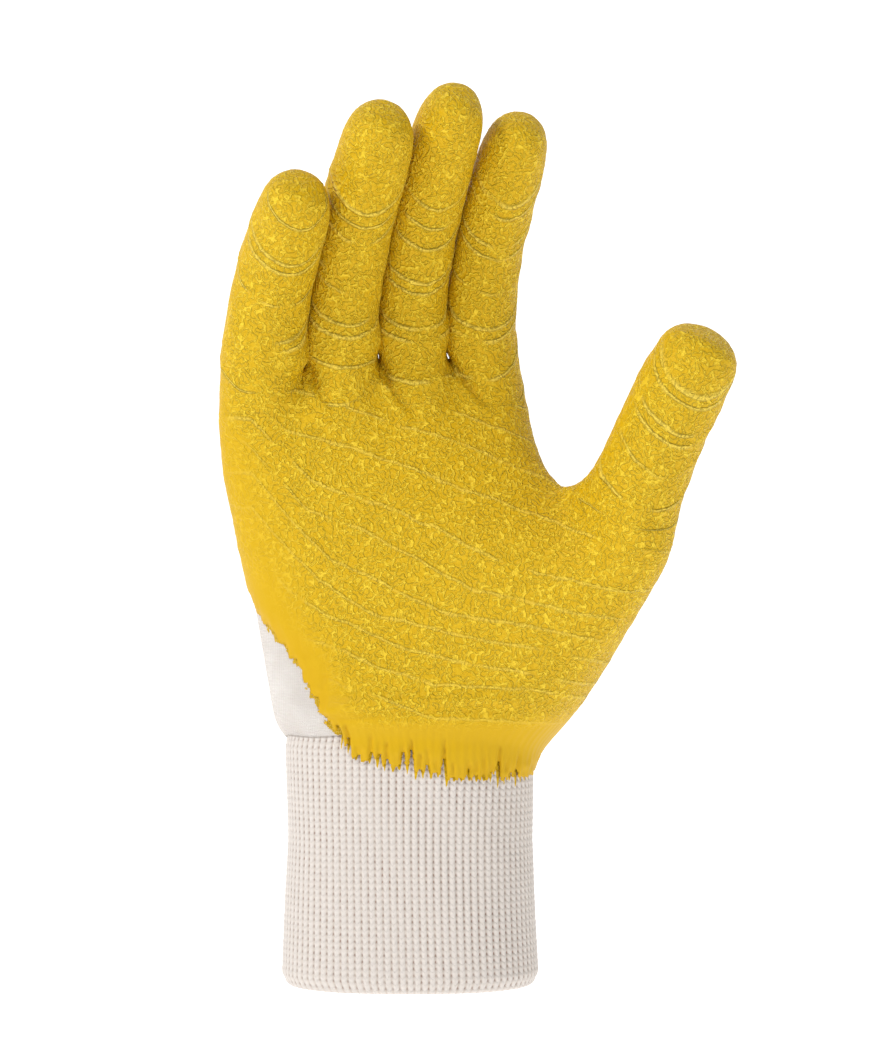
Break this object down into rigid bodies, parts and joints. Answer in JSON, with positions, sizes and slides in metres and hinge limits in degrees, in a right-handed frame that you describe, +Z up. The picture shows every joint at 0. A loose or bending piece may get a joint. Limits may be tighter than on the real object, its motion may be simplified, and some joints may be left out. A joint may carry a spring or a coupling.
{
  "type": "latex coated grip glove",
  "caption": "Right-hand work glove shaped as worn: crinkled yellow latex over palm, fingers and thumb, cotton jersey liner and rib-knit cuff.",
  "frame": {"origin": "centre of the cuff's mouth, in the plane of its hem, where the hand goes in", "axes": "+Z up along the fingers, -Y the way the palm faces, +X towards the thumb"},
  "size_m": [0.1423, 0.0785, 0.2518],
  "materials": {
    "latex_coat": "matte, finely crinkled",
    "jersey_liner": "fine white cotton jersey",
    "rib_cuff": "white rib knit"
  },
  "bodies": {
    "root": {"latex_coat": "latex_coat", "jersey_liner": "jersey_liner", "rib_cuff": "rib_cuff"}
  },
  "joints": []
}
